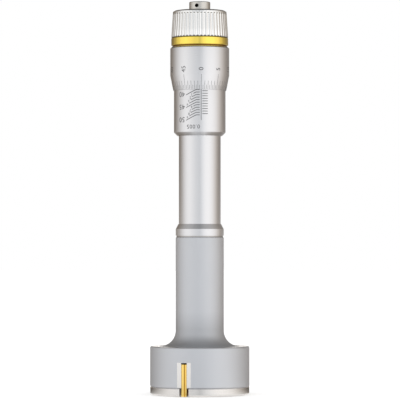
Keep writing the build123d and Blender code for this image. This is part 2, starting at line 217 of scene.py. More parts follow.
shade_reach = [(40, 1.0), (90, 0.0)]  # millimetres from the axis, how strong the shade is
shade_span = 100  # millimetres from the axis that the shade's ramp covers
tent_peak = max(level * (1 + abs(warmth)) for _, level, warmth in tent_sides)
side_stops = [
    ((direction + 180) / 360, [level * share / tent_peak for share in (1 + warmth, 1, 1 - warmth)])
    for direction, level, warmth in tent_sides
]
print("brightest side of the tent:", round(tent_peak, 2))

# %% [markdown]
# The tent stands 0.28 m from the axis and turns in under the object like a dish, so that bevels and chamfers that
# face down show its sides too. Only glossy and transmission rays see it: the camera looks through it, and it
# neither lights the floor nor throws a shadow.

# %% Build the tent
tent_light = new_material("studio_tent_light")
tree = tent_light.node_tree
xyz = object_xyz()
azimuth = maths("ARCTAN2", xyz["X"], maths("MULTIPLY", xyz["Y"], -1.0))
reach = from_axis(xyz)
elevation = maths("ARCTAN2", maths("SUBTRACT", xyz["Z"], tent_middle), reach)
sides = ramp(maths("MULTIPLY_ADD", azimuth, 1 / (2 * pi), 0.5), side_stops)
up_share = maths("MULTIPLY_ADD", elevation, 1 / pi, 0.5)
rise = grey_ramp(up_share, -90, 180, tent_rise)
shade = add(tree, "ShaderNodeVectorMath", {0: sides, 1: rise}, operation="MULTIPLY")
aside = maths("DIVIDE", maths("ABSOLUTE", azimuth), pi)
behind = grey_ramp(aside, 0, 180, wall_side)
near_floor = grey_ramp(up_share, -90, 180, wall_rise)
wall = maths("MULTIPLY", maths("MULTIPLY", behind, near_floor), wall_level / tent_peak)
lit = add(tree, "ShaderNodeVectorMath", {0: shade.outputs[0], 1: wall}, operation="ADD").outputs[0]
shaded = grey_ramp(aside, 0, 180, shade_side)
close = grey_ramp(maths("DIVIDE", reach, shade_span * mm), 0, shade_span, shade_reach)
left = add(tree, "ShaderNodeMix", {0: close, 2: 1.0, 3: shaded}, data_type="FLOAT").outputs[0]
glow = add(tree, "ShaderNodeEmission", {"Color": lit, "Strength": maths("MULTIPLY", left, tent_peak)})
add(tree, "ShaderNodeOutputMaterial", {"Surface": glow.outputs[0]})

# radius and height in metres, from the foot of the object out and up to the top
tent_profile = [(0.0205, 0.0005), (0.20, 0.004), (0.26, 0.03), (0.28, 0.10), (0.28, 0.25), (0.20, 0.36), (0, 0.40)]
tent_mesh = bpy.data.meshes.new("studio_tent")
build = bmesh.new()
rim = [build.verts.new((r, 0, z)) for r, z in tent_profile]
edges = [build.edges.new(pair) for pair in zip(rim, rim[1:])]
bmesh.ops.spin(build, geom=rim + edges, cent=(0, 0, 0), axis=(0, 0, 1), angle=2 * pi, steps=72)
bmesh.ops.remove_doubles(build, verts=build.verts, dist=0.01 * mm)
build.to_mesh(tent_mesh)
build.free()
tent_mesh.materials.append(tent_light)
tent = new_object("studio_tent", tent_mesh)
tent.visible_camera = False
tent.visible_diffuse = False
tent.visible_shadow = False
print("tent:", len(tent_mesh.polygons), "faces")

# %% [markdown]
# The world is plain white at a strength of 1: it is the white background, and it lights the floor and the paint.
# The floor is pale and catches the object's soft shadow. Camera, glossy and transmission rays also see a little
# glow from it, so that it runs into the white background and only the shadow is left.

# %% Add the white world and the floor
world = bpy.data.worlds.new("white_world")
world.use_nodes = True
tree = world.node_tree
tree.nodes.clear()
sky = add(tree, "ShaderNodeBackground", {"Color": linear("FFFFFF"), "Strength": 1.0})
add(tree, "ShaderNodeOutputWorld", {"Surface": sky.outputs[0]})
bpy.context.scene.world = world
bpy.context.scene.view_settings.view_transform = "Standard"

floor_radius = 6.0
floor_glow = 0.35
floor_paint = new_material("white_floor_paint")
tree = floor_paint.node_tree
paint = add(tree, "ShaderNodeBsdfDiffuse", {"Color": linear("E4E4E4")})
ray = add(tree, "ShaderNodeLightPath").outputs
seen = maths("MAXIMUM", ray["Is Camera Ray"], maths("MAXIMUM", ray["Is Glossy Ray"], ray["Is Transmission Ray"]))
lift = add(tree, "ShaderNodeEmission", {"Color": linear("FFFFFF"), "Strength": maths("MULTIPLY", seen, floor_glow)})
both = add(tree, "ShaderNodeAddShader", {0: paint.outputs[0], 1: lift.outputs[0]})
add(tree, "ShaderNodeOutputMaterial", {"Surface": both.outputs[0]})

floor_mesh = bpy.data.meshes.new("studio_floor")
build = bmesh.new()
bmesh.ops.create_circle(build, cap_ends=True, segments=96, radius=floor_radius)
build.to_mesh(floor_mesh)
build.free()
floor_mesh.materials.append(floor_paint)
floor = new_object("studio_floor", floor_mesh)
print("stage:", tent.name, floor.name)

# %% [markdown]
# ## Materials
# Nearly all of the instrument is steel with different last touches: satin chrome, bead-blasted matt chrome, fine
# grinding. They share one recipe, a metal whose roughness and bump come from a grain. What differs is the size of
# the grain and how it is stretched: a turned or ground surface has lines round the axis, so its grain is long in X
# and Y and short in Z, and a blasted one has round specks. Object coordinates keep the grain fixed to the piece.

# %% Make the shared recipe for worked metal
materials = {}
cloud_size = 9 * mm
grain_low, grain_high = 0.3, 0.7  # nearly all of the grain's values lie between these two
oxide_roughness = 0.1
oxide_ior = 1.76


def worked_metal(name, colour, roughness, grain, spread, bump, worn=0.0, coat=0.0):
    """Makes a metal whose grain sets its roughness, its bump and a slight change of colour.

    grain: size of a speck in millimetres, across X, Y and Z
    spread: how far the roughness wanders to each side
    bump: how deep the grain is, in millimetres
    worn: share by which the colour wanders between bright and dull places
    coat: share of a clear coat of oxide on top
    """
    material = new_material(name)
    tree = material.node_tree
    place = add(tree, "ShaderNodeTexCoord")
    across = [1 / (size * mm) for size in grain]
    scaled = add(tree, "ShaderNodeMapping", {"Vector": place.outputs["Object"], "Scale": across})
    specks = add(
        tree, "ShaderNodeTexNoise", {"Vector": scaled.outputs[0], "Scale": 1.0, "Detail": 3.0, "Roughness": 0.6}
    )
    cloud = add(
        tree, "ShaderNodeTexNoise", {"Vector": place.outputs["Object"], "Scale": 1 / cloud_size, "Detail": 2.0}
    )
    mixed = add(
        tree, "ShaderNodeMix", {"Factor": 0.35, "A": specks.outputs[0], "B": cloud.outputs[0]}, data_type="FLOAT"
    )
    rough = add(
        tree,
        "ShaderNodeMapRange",
        {
            "Value": mixed.outputs[0],
            "From Min": grain_low,
            "From Max": grain_high,
            "To Min": roughness - spread,
            "To Max": roughness + spread,
        },
    )
    bright = linear(colour)
    dull = [c * (1 - worn) for c in bright[:3]] + [1.0]
    tint = add(tree, "ShaderNodeValToRGB", {0: mixed.outputs[0]})
    tint.color_ramp.elements[0].position = grain_low
    tint.color_ramp.elements[0].color = dull
    tint.color_ramp.elements[1].position = grain_high
    tint.color_ramp.elements[1].color = bright
    relief = add(tree, "ShaderNodeBump", {"Height": specks.outputs[0], "Strength": 1.0, "Distance": bump * mm})
    surface = add(
        tree,
        "ShaderNodeBsdfPrincipled",
        {
            "Base Color": tint.outputs[0],
            "Metallic": 1.0,
            "Roughness": rough.outputs[0],
            "Normal": relief.outputs[0],
            "Coat Weight": coat,
            "Coat Roughness": oxide_roughness,
            "Coat IOR": oxide_ior,
        },
    )
    add(tree, "ShaderNodeOutputMaterial", {"Surface": surface.outputs[0]})
    materials[name] = material
    return material


def finish_where(mask, colour, roughness):
    """Gives the places where the mask is 1 another colour and another roughness, as a second finish has."""
    surface = next(node for node in tree.nodes if node.type == "BSDF_PRINCIPLED")
    # a Mix node has its two colours in the sockets 6 and 7, and its two plain values in 2 and 3
    shades = {6: surface.inputs["Base Color"].links[0].from_socket, 7: linear(colour)}
    blend = add(tree, "ShaderNodeMix", {0: mask, **shades}, data_type="RGBA")
    tree.links.new(blend.outputs[2], surface.inputs["Base Color"])
    depths = {2: surface.inputs["Roughness"].links[0].from_socket, 3: roughness}
    blend = add(tree, "ShaderNodeMix", {0: mask, **depths}, data_type="FLOAT")
    tree.links.new(blend.outputs[0], surface.inputs["Roughness"])


print("recipe for worked metal is ready")

# %% [markdown]
# Satin chrome is a hard silvery plate over turned steel. Its fine turning lines are 0.05 mm apart, too fine to
# show from a metre away, so they are drawn 0.12 mm apart. The head is blasted with fine beads before it is plated,
# which gives a matt skin that hardly shows the soft boxes. The end cap is plated and then ground, so it is
# brighter and has streaks round its edge. The knob is polished before it is plated, and the button on top is plain
# turned stainless steel. The jaws and the washer under the ring are brown steel. The brown is partly the jaws' own
# gold-brown colour, and partly painted shade and a painted warm reflection of the gold contacts and the yellow ring,
# which show in the gaps beside the contacts and as a brown line under the ring.

# %% Make the steels and the chrome plate
satin = ("DADADC", 0.30, (3, 3, 0.12), 0.03, 0.0004, 0.03)
satin_chrome = worked_metal("satin_chrome_on_turned_steel", *satin)
matt_chrome = worked_metal("matt_chrome_on_blasted_steel", "D3D5D9", 0.62, (0.2, 0.2, 0.2), 0.06, 0.004, 0.05)
ground_chrome = worked_metal("ground_chrome_on_steel", "E4E1DE", 0.24, (6, 6, 0.25), 0.04, 0.0008, 0.04)
hardened_steel = worked_metal("hardened_ground_steel", "C4C3C1", 0.28, (0.15, 4, 4), 0.06, 0.001, 0.08)
spring_wire = worked_metal("drawn_spring_wire", "A9A7A3", 0.36, (0.1, 0.1, 0.1), 0.08, 0.001, 0.15)
black_steel = worked_metal("oil_blackened_steel", "3A3A3C", 0.45, (0.2, 0.2, 0.2), 0.10, 0.002, 0.25)
bright_chrome = worked_metal("bright_chrome_on_milled_steel", "ECECEB", 0.17, (0.3, 0.3, 2), 0.03, 0.0003, 0.03)
turned_steel = worked_metal("turned_stainless_steel", "CFCCC6", 0.30, (3, 3, 0.12), 0.04, 0.0005, 0.05)
# brown steel: partly the jaws' own colour, partly painted shade and a painted warm reflection
brown_steel_painted_reflection = worked_metal("brown_steel_with_painted_reflection", "7E5A28", 0.32, (0.15, 4, 4), 0.06, 0.001, 0.15)
bronze = worked_metal("reamed_bearing_bronze", "C79A5B", 0.32, (3, 3, 0.15), 0.07, 0.001, 0.12)
print(len(materials), "metals")

# %% [markdown]
# The collar on top of the neck is the same satin chrome. Only the narrow groove at its foot is painted a darker grey
# and made rougher: painted shade for the shade in the groove, so it shows as a thin grey line.

# %% Paint shade into the groove under the collar
groove_shade_height = 0.52 * mm
groove_depth = 0.15 * mm
collar_chrome_painted_shade = worked_metal("satin_chrome_with_painted_groove_shade", *satin)
tree = collar_chrome_painted_shade.node_tree
low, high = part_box("collar_nut")
xyz = object_xyz()
sunk = maths("LESS_THAN", from_axis(xyz), high.x - groove_depth)
# the groove's foot gets a darker grey: painted shade
finish_where(maths("MULTIPLY", sunk, maths("LESS_THAN", xyz["Z"], low.z + groove_shade_height)), "B0AEAC", 0.45)
print("groove is dull from", round(low.z / mm, 2), "to", round((low.z + groove_shade_height) / mm, 2), "mm")

# %% [markdown]
# Three narrow flats are milled beside the contacts, on the head and on the end cap, and ground bright. A point lies
# on a flat when it is as far out as the flat in the direction of that contact, and lower than the flat's top. The
# walls of the slots that the contacts slide in are painted dark brown: painted shade for the deep slots, with a
# painted warm reflection of the gold contacts. A point is on a slot's wall when it is no farther to the side of
# the contact's middle than the slot is wide.

# %% Grind the milled flats bright and paint shade into the slots
flat_distance = 19.465 * mm
flat_top = 13.4 * mm
slot_start = 12.5 * mm
slot_ceiling = 13.32 * mm
half_slots = {matt_chrome: 1.15 * mm, ground_chrome: 1.9 * mm}


def contact_places():
    """Adds how far out a point is towards each contact, and how far it is to the side of that contact's middle."""
    place = add(tree, "ShaderNodeTexCoord").outputs["Object"]
    places = []
    for number in (1, 2, 3):
        low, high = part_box(f"contact_strip_{number}")
        outwards = Vector((low.x + high.x, low.y + high.y, 0)).normalized()
        sideways = Vector((-outwards.y, outwards.x, 0))
        far, off = (
            add(tree, "ShaderNodeVectorMath", {0: place, 1: way}, operation="DOT_PRODUCT").outputs["Value"]
            for way in (outwards, sideways)
        )
        places.append((far, off))
    return add(tree, "ShaderNodeSeparateXYZ", {0: place}).outputs["Z"], places


for material, half_slot in half_slots.items():
    tree = material.node_tree
    height, places = contact_places()
    farthest = 0.0
    beside = 0.0
    for far, off in places:
        farthest = maths("MAXIMUM", farthest, far)
        between = maths("LESS_THAN", maths("ABSOLUTE", off), half_slot)
        beside = maths("MAXIMUM", beside, maths("MULTIPLY", between, maths("GREATER_THAN", far, slot_start)))
    on_flat = maths("MULTIPLY", maths("GREATER_THAN", farthest, flat_distance), maths("LESS_THAN", height, flat_top))
    finish_where(on_flat, "E6E4E1", 0.24)
    # the slot walls get dark brown: painted shade with a painted reflection of the gold contacts
    finish_where(maths("MULTIPLY", beside, maths("LESS_THAN", height, slot_ceiling)), "8A5A14", 0.5)
print("flats are bright on", matt_chrome.name, "and", ground_chrome.name)

# %% [markdown]
# The flat top face of the drum is turned after blasting, so it is smoother, and its lighter colour is partly a
# painted highlight for the light that it catches. The skin above it is painted darker towards the root of the
# flare: painted shade and painted dark reflection from the drum's top face.

# %% Paint a highlight on the drum's top face and shade at the root of the flare
head_top = 19.25 * mm
flare_foot = 15.7 * mm
flare_shade_top = 33 * mm
flare_shade_run = 7 * mm
slack = 0.02 * mm
tree = matt_chrome.node_tree
xyz = object_xyz()
down = maths("DIVIDE", maths("SUBTRACT", flare_shade_top, xyz["Z"]), flare_shade_run)
down = maths("MINIMUM", maths("MAXIMUM", down, 0.0), 1.0)
above = maths("GREATER_THAN", xyz["Z"], head_top - slack)
# the skin gets duller towards the flare's root: painted shade
finish_where(maths("MULTIPLY", down, above), "C2C4C8", 0.62)
level = maths("LESS_THAN", maths("ABSOLUTE", maths("SUBTRACT", xyz["Z"], head_top)), slack)
# the top face gets a lighter colour: partly a painted highlight
finish_where(maths("MULTIPLY", level, maths("GREATER_THAN", from_axis(xyz), flare_foot)), "E6E4E1", 0.22)
print("top face is bright from", round(flare_foot / mm, 1), "mm outwards")

# %% [markdown]
# The hole in the side of the button takes the pin of a spanner. Its wall is painted near black and rough: painted
# shade for the dark inside of the hole. A point is on that wall when it is closer to the hole's axis than the
# button's own surface can be.

# %% Paint shade into the spanner hole
hole_radius = 0.75 * mm
wall_reach = 1.02 * hole_radius
hole_angle = radians(-20.0)
low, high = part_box("ratchet_screw")
button_height = 3.45 * mm
hole_share = 0.525
hole_middle = Vector((0, 0, high.z - button_height * (1 - hole_share)))
hole_axis = Vector((sin(hole_angle), -cos(hole_angle), 0))
tree = turned_steel.node_tree
place = add(tree, "ShaderNodeTexCoord").outputs["Object"]
off = add(tree, "ShaderNodeVectorMath", {0: place, 1: hole_middle}, operation="SUBTRACT").outputs[0]
along = add(tree, "ShaderNodeVectorMath", {0: off, 1: hole_axis}, operation="DOT_PRODUCT").outputs["Value"]
length = add(tree, "ShaderNodeVectorMath", {0: off}, operation="LENGTH").outputs["Value"]
across = maths("SQRT", maths("SUBTRACT", maths("POWER", length, 2.0), maths("POWER", along, 2.0)))
near = maths("MULTIPLY", maths("LESS_THAN", across, wall_reach), maths("GREATER_THAN", along, 0.0))
# the hole's wall gets near black: painted shade
finish_where(near, "17120E", 0.6)
print("hole at", round(hole_middle.z / mm, 2), "mm")

# %% [markdown]
# The ring under the knob is aluminium, turned bright and dyed yellow as it was anodised. The clear oxide on top is a
# thin coat that reflects the room without the dye's colour, so the bright bands are paler than the metal between
# them. The contacts are hard metal with a gold-coloured nitride coating, ground along their length. Beside the middle
# of each one a narrow band is darker and rougher.

# %% Make the yellow ring and the gold contacts
yellow_anodised = worked_metal("yellow_anodised_aluminium", "F4D85A", 0.09, (3, 3, 0.12), 0.02, 0.0003, 0.04, 0.4)
gold_nitride = worked_metal("gold_nitride_on_hard_metal", "FCDA80", 0.10, (0.1, 0.1, 3), 0.05, 0.0005, 0.08)
band_offset = 0.42 * mm
band_half = 0.28 * mm
tree = gold_nitride.node_tree
darker_band = 0.0
for far, off in contact_places()[1]:
    near = maths("LESS_THAN", maths("ABSOLUTE", maths("SUBTRACT", off, band_offset)), band_half)
    darker_band = maths("MAXIMUM", darker_band, maths("MULTIPLY", near, maths("GREATER_THAN", far, slot_start)))
# a narrow band beside each contact's middle is darker and rougher
finish_where(darker_band, "D29E3C", 0.16)
print(len(materials), "metals")

# %% [markdown]
# The scale marks are engraved and filled with black paint, which dries matt and slightly uneven.

# %% Make the black filling of the marks
black_fill = new_material("black_engraving_paint")
tree = black_fill.node_tree
place = add(tree, "ShaderNodeTexCoord")
patches = add(tree, "ShaderNodeTexNoise", {"Vector": place.outputs["Object"], "Scale": 1 / (0.4 * mm)})
tint = add(tree, "ShaderNodeValToRGB", {0: patches.outputs[0]})
tint.color_ramp.elements[0].color = linear("2A2B2D")
tint.color_ramp.elements[1].color = linear("45474A")
relief = add(tree, "ShaderNodeBump", {"Height": patches.outputs[0], "Distance": 0.005 * mm})
surface = add(
    tree,
    "ShaderNodeBsdfPrincipled",
    {"Base Color": tint.outputs[0], "Roughness": 0.7, "Normal": relief.outputs[0]},
)
add(tree, "ShaderNodeOutputMaterial", {"Surface": surface.outputs[0]})
print("paint:", black_fill.name)

# %% [markdown]
# ## Turned skins
# Sleeve and thimble are turned on a lathe, and their edges are broken with a file or a stone: about a tenth
# of a millimetre of round that catches a thin line of light. The CAD edges are sharp, so these pieces are made
# again from the same half sections, with each corner rounded, and turned about the axis in small steps. From here
# on a size is in plain millimetres unless mm stands beside it, and a mesh or a tree gets it in metres.

# %% Round the corners of a half section and turn it
touching = 0.0005 * mm  # points that are closer together are merged
sharp_angle = radians(32)  # an edge that turns by more stays sharp


def rounded(corners, steps=4):
    """Rounds a closed half section. A corner is a radius, a height and the radius of its round, in millimetres."""
    points = []
    for number, (r, z, round_radius) in enumerate(corners):
        here = Vector((r, z))
        before = Vector(corners[number - 1][:2]) - here
        after = Vector(corners[(number + 1) % len(corners)][:2]) - here
        if not round_radius:
            points.append(here)
            continue
        half = before.angle(after) / 2
        run = round_radius * cos(half) / sin(half)
        first = here + before.normalized() * run
        last = here + after.normalized() * run
        middle = here + (before.normalized() + after.normalized()).normalized() * round_radius / sin(half)
        sweep = (first - middle).angle_signed(last - middle)
        for step in range(steps + 1):
            turn = Matrix.Rotation(-sweep * step / steps, 2)
            points.append(middle + turn @ (first - middle))
    return points


def plain_piece(name, mesh, material):
    """Links a finished mesh as a piece: doubles merged, faces outwards, smooth up to its sharp edges."""
    build = bmesh.new()
    build.from_mesh(mesh)
    bmesh.ops.remove_doubles(build, verts=build.verts, dist=touching)
    bmesh.ops.recalc_face_normals(build, faces=build.faces)
    build.to_mesh(mesh)
    build.free()
    mesh.shade_smooth()
    mesh.set_sharp_from_angle(angle=sharp_angle)
    if not mesh.materials:
        mesh.materials.append(material)
    return new_object(name, mesh)


def lathe(name, corners, material, steps=240):
    """Turns a half section about the axis."""
    section = rounded(corners)
    mesh = bpy.data.meshes.new(name)
    rows = len(section)
    verts = [
        (r * mm * cos(2 * pi * s / steps), r * mm * sin(2 * pi * s / steps), z * mm)
        for s in range(steps)
        for r, z in section
    ]
    faces = [
        (s * rows + n, s * rows + (n + 1) % rows, (s + 1) % steps * rows + (n + 1) % rows, (s + 1) % steps * rows + n)
        for s in range(steps)
        for n in range(rows)
    ]
    mesh.from_pydata(verts, [], faces)
    return plain_piece(name, mesh, material)


def turned_size(node):
    """Gives the outer radius, the foot and the top of a turned CAD node, in millimetres."""
    low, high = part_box(node)
    return high.x / mm, low.z / mm, high.z / mm


print("barrel radius, foot and top:", [round(v, 2) for v in turned_size("barrel_tube")])

# %% [markdown]
# The thimble is a cup: a thin wall with a bevelled edge that carries the scale, and a web on top that the spindle
# passes through. Its bore, its bevel and its web are the CAD sizes, in millimetres.

# %% Turn the thimble
thimble_radius, thimble_edge, thimble_top = turned_size("thimble")
thimble_bore = 10.38
thimble_edge_radius = 10.5
thimble_bevel = 6.0
thimble_chamfer = 0.6
thimble_web = 3.0
spindle_hole = 4.03

thimble = lathe(
    "thimble_skin",
    [
        (thimble_bore, thimble_edge, 0),
        (thimble_edge_radius, thimble_edge, 0.08),
        (thimble_radius, thimble_edge + thimble_bevel, 0.6),
        (thimble_radius, thimble_top - thimble_chamfer, 0.15),
        (thimble_radius - thimble_chamfer, thimble_top, 0.12),
        (spindle_hole, thimble_top, 0),
        (spindle_hole, thimble_top - thimble_web, 0),
        (thimble_bore, thimble_top - thimble_web, 0),
    ],
    satin_chrome,
)
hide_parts("thimble")
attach(thimble, "thimble_group")
print("thimble skin:", len(thimble.data.polygons), "faces")

# %% [markdown]
# The graduated sleeve is a tube that is pressed over the barrel. Its foot has a wide chamfer, which is the grey
# band under the scale in the photograph.

# %% Turn the graduated sleeve
sleeve_radius, sleeve_foot, sleeve_top = turned_size("graduated_sleeve")
barrel_radius = turned_size("barrel_tube")[0]
sleeve_bore = barrel_radius + 0.03
sleeve_chamfer = 1.4

sleeve = lathe(
    "graduated_sleeve_skin",
    [
        (sleeve_bore, sleeve_foot, 0),
        (sleeve_radius - sleeve_chamfer, sleeve_foot, 0.12),
        (sleeve_radius, sleeve_foot + sleeve_chamfer, 0.5),
        (sleeve_radius, sleeve_top, 0.1),
        (sleeve_bore, sleeve_top, 0),
    ],
    satin_chrome,
)
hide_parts("graduated_sleeve")
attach(sleeve, "frame")
print("sleeve skin:", len(sleeve.data.polygons), "faces")

# %% [markdown]
# ## Running a Geometry Nodes tree
# Marks and flutes repeat, so Geometry Nodes make them. Each tree has named inputs for its sizes, and ends the same
# way: instances are made real and get their material. A modifier's inputs are set by the identifier of their socket
# before anything is evaluated, and then the result is kept as a plain mesh, because the export takes no live
# modifier and no instance.


# %% Start a tree, end it, set its inputs and keep its result
def new_tree(name, inputs):
    """Starts a geometry tree with named inputs, and returns it with the sockets that bring them."""
    tree = bpy.data.node_groups.new(name, "GeometryNodeTree")
    tree.interface.new_socket("Geometry", in_out="INPUT", socket_type="NodeSocketGeometry")
    for label, kind in inputs.items():
        tree.interface.new_socket(label, in_out="INPUT", socket_type=kind)
    tree.interface.new_socket("Geometry", in_out="OUTPUT", socket_type="NodeSocketGeometry")
    return tree, add(tree, "NodeGroupInput").outputs


def on_circle(radius, angle, height):
    """Adds the point at a distance from the axis, an angle from the index line and a height."""
    x = maths("MULTIPLY", radius, maths("SINE", angle))
    y = maths("MULTIPLY", radius, maths("MULTIPLY", maths("COSINE", angle), -1.0))
    return add(tree, "ShaderNodeCombineXYZ", {"X": x, "Y": y, "Z": height}).outputs[0]


def end_tree(geometry, material):
    """Ends the tree with real geometry that has its material."""
    real = add(tree, "GeometryNodeRealizeInstances", {"Geometry": geometry})
    dressed = add(tree, "GeometryNodeSetMaterial", {"Geometry": real.outputs[0], "Material": material})
    add(tree, "NodeGroupOutput", {0: dressed.outputs[0]})
    print("tree", tree.name, "has", len(tree.nodes), "nodes")


def run_trees(name, start_mesh, material, stack):
    """Puts trees on a start mesh, one after the other, and returns the result as a finished piece."""
    holder = new_object(name + "_start", start_mesh)
    for tree, sizes in stack:
        modifier = holder.modifiers.new(tree.name, "NODES")
        modifier.node_group = tree
        for socket in tree.interface.items_tree:
            if socket.in_out == "INPUT" and socket.name in sizes:
                modifier[socket.identifier] = sizes[socket.name]
    shown = holder.evaluated_get(bpy.context.evaluated_depsgraph_get())
    mesh = bpy.data.meshes.new_from_object(shown)
    bpy.data.objects.remove(holder)
    mesh.name = name
    return plain_piece(name, mesh, material)


print("trees can run")

# %% [markdown]
# ## Fluted ratchet knob
# The knob has 48 round flutes milled into a slightly tapered barrel. They stop short of the top, where a plain
# land and a chamfer are left. The shape follows a rule, so a tree makes it: it takes the half section of the
# plain knob, turns it in fine steps, and pulls each point in as far as the cutter would. The cutter's depth runs
# out in a quarter circle at the top, as a round cutter leaves it. Both ends of the flutes are painted a duller,
# rougher grey: painted shade for the dark dots where the flutes open under the chamfer and over the ring. A point
# is in a flute when it is well inside the knob's tapered wall.

# %% Build the tree that mills flutes into a turned knob
flute_tree, given = new_tree(
    "fluted_knob",
    {
        "Flutes": "NodeSocketInt",
        "Steps": "NodeSocketInt",
        "Cutter radius": "NodeSocketFloat",
        "Depth": "NodeSocketFloat",
        "Flute top": "NodeSocketFloat",
        "Run out": "NodeSocketFloat",
        "Only outside": "NodeSocketFloat",
        "Material": "NodeSocketMaterial",
    },
)
tree = flute_tree
counted = add(tree, "GeometryNodeAttributeDomainSize", {"Geometry": given["Geometry"]}, component="MESH")
corners = counted.outputs["Point Count"]
columns = maths("MULTIPLY", given["Flutes"], given["Steps"])
columns_closed = maths("ADD", columns, 1.0)
rows_closed = maths("ADD", corners, 1.0)
sheet = add(tree, "GeometryNodeMeshGrid", {"Vertices X": columns_closed, "Vertices Y": rows_closed})
index = add(tree, "GeometryNodeInputIndex").outputs[0]
column = maths("FLOOR", maths("DIVIDE", maths("ADD", index, 0.5), rows_closed))
section_row = maths("FLOORED_MODULO", maths("FLOORED_MODULO", index, rows_closed), corners)
position = add(tree, "GeometryNodeInputPosition").outputs[0]
section = add(
    tree,
    "GeometryNodeSampleIndex",
    {"Geometry": given["Geometry"], "Value": position, "Index": section_row},
    data_type="FLOAT_VECTOR",
)
corner = add(tree, "ShaderNodeSeparateXYZ", {0: section.outputs[0]})
plain_radius, height = corner.outputs["X"], corner.outputs["Z"]

turn = maths("DIVIDE", column, columns)
share = maths("SUBTRACT", maths("FRACT", maths("ADD", maths("MULTIPLY", turn, given["Flutes"]), 0.5)), 0.5)
off_flute = maths("DIVIDE", maths("MULTIPLY", share, 2 * pi), given["Flutes"])
past_start = maths("SUBTRACT", maths("ADD", height, given["Run out"]), given["Flute top"])
over = maths("MINIMUM", maths("MAXIMUM", maths("DIVIDE", past_start, given["Run out"]), 0.0), 1.0)
left = maths("SQRT", maths("SUBTRACT", 1.0, maths("MULTIPLY", over, over)))
depth = maths("MULTIPLY", given["Depth"], left)
axis_radius = maths("SUBTRACT", maths("ADD", plain_radius, given["Cutter radius"]), depth)
aside = maths("MULTIPLY", axis_radius, maths("SINE", off_flute))
chord_square = maths("SUBTRACT", maths("POWER", given["Cutter radius"], 2.0), maths("POWER", aside, 2.0))
half_chord = maths("SQRT", maths("MAXIMUM", chord_square, 0.0))
cut = maths("SUBTRACT", maths("MULTIPLY", axis_radius, maths("COSINE", off_flute)), half_chord)
inside = maths("MULTIPLY", maths("GREATER_THAN", chord_square, 0.0), maths("LESS_THAN", height, given["Flute top"]))
outer = maths("GREATER_THAN", plain_radius, given["Only outside"])
saved = maths("SUBTRACT", plain_radius, maths("MINIMUM", plain_radius, cut))
radius = maths("SUBTRACT", plain_radius, maths("MULTIPLY", maths("MULTIPLY", inside, outer), saved))

spot = on_circle(radius, maths("MULTIPLY", turn, 2 * pi), height)
bent = add(tree, "GeometryNodeSetPosition", {"Geometry": sheet.outputs["Mesh"], "Position": spot})
closed = add(tree, "GeometryNodeMergeByDistance", {"Geometry": bent.outputs[0], "Distance": touching})
end_tree(closed.outputs[0], given["Material"])

# %% Mill the knob
_, knob_foot, knob_top = turned_size("ratchet_sleeve")
knob_foot_radius = 11.28
knob_top_radius = 10.64
knob_straight_top = knob_top - 0.45
knob_chamfer_run = 0.75
knob_cavity = 9.3
knob_cavity_depth = 4.6
screw_hole = 3.05
flute_top = knob_straight_top - 0.65
run_out = 0.9
run_out_steps = 6
flute_shade_depth = 0.08
flute_shade_top = 0.55
flute_shade_foot = 0.4


def knob_wall(z):
    """Gives the radius of the knob's tapered wall at a height."""
    share_up = (z - knob_foot) / (knob_straight_top - knob_foot)
    return knob_foot_radius + (knob_top_radius - knob_foot_radius) * share_up


plain_rows = [knob_foot + 3, knob_foot + 6]
run_out_rows = [flute_top - run_out * (1 - n / run_out_steps) for n in range(run_out_steps + 1)]
knob_corners = rounded(
    [(knob_cavity, knob_foot, 0), (knob_foot_radius, knob_foot, 0.12)]
    + [(knob_wall(z), z, 0) for z in plain_rows + run_out_rows]
    + [
        (knob_top_radius, knob_straight_top, 0.08),
        (knob_top_radius - knob_chamfer_run, knob_top, 0.08),
        (screw_hole, knob_top, 0.1),
        (screw_hole, knob_foot + knob_cavity_depth, 0),
        (knob_cavity, knob_foot + knob_cavity_depth, 0),
    ]
)
knob_section = bpy.data.meshes.new("knob_section")
knob_section.from_pydata([(r * mm, 0, z * mm) for r, z in knob_corners], [], [])
knob = run_trees(
    "fluted_knob",
    knob_section,
    bright_chrome,
    [
        (
            flute_tree,
            {
                "Flutes": 48,
                "Steps": 20,
                "Cutter radius": 1.0 * mm,
                "Depth": 0.18 * mm,
                "Flute top": flute_top * mm,
                "Run out": run_out * mm,
                "Only outside": (knob_top_radius - 0.3) * mm,
                "Material": bright_chrome,
            },
        )
    ],
)
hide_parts("ratchet_sleeve")
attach(knob, "ratchet_knob")
print("knob:", len(knob.data.polygons), "faces")

# %% Paint shade into the ends of the flutes
tree = bright_chrome.node_tree
xyz = object_xyz()
taper = (knob_wall(knob_top) - knob_wall(knob_foot)) / (knob_top - knob_foot)
wall = maths("MULTIPLY_ADD", xyz["Z"], taper, (knob_foot_radius - knob_foot * taper) * mm)
in_flute = maths("GREATER_THAN", maths("SUBTRACT", wall, from_axis(xyz)), flute_shade_depth * mm)
over = maths("GREATER_THAN", xyz["Z"], (flute_top - flute_shade_top) * mm)
upper = maths("MULTIPLY", over, maths("LESS_THAN", xyz["Z"], flute_top * mm))
lower = maths("LESS_THAN", xyz["Z"], (knob_foot + flute_shade_foot) * mm)
# both ends of the flutes get a duller grey: painted shade
finish_where(maths("MULTIPLY", in_flute, maths("ADD", upper, lower)), "8E8C86", 0.4)
print("grime lies above", round(flute_top - flute_shade_top, 1), "and below", round(knob_foot + flute_shade_foot, 1), "mm")

# %% [markdown]
# ## Scale marks
# A mark is drawn flat first, in a plane whose X is the distance round the surface and whose Z is the height. One
# tree adds a row of equal marks to such a drawing. A second tree gives the drawing a thickness and wraps it round
# the turned surface, which may be a cylinder or a cone. The marks stand one hundredth of a millimetre proud, so
# that the paint covers the metal, and go a little way into it.

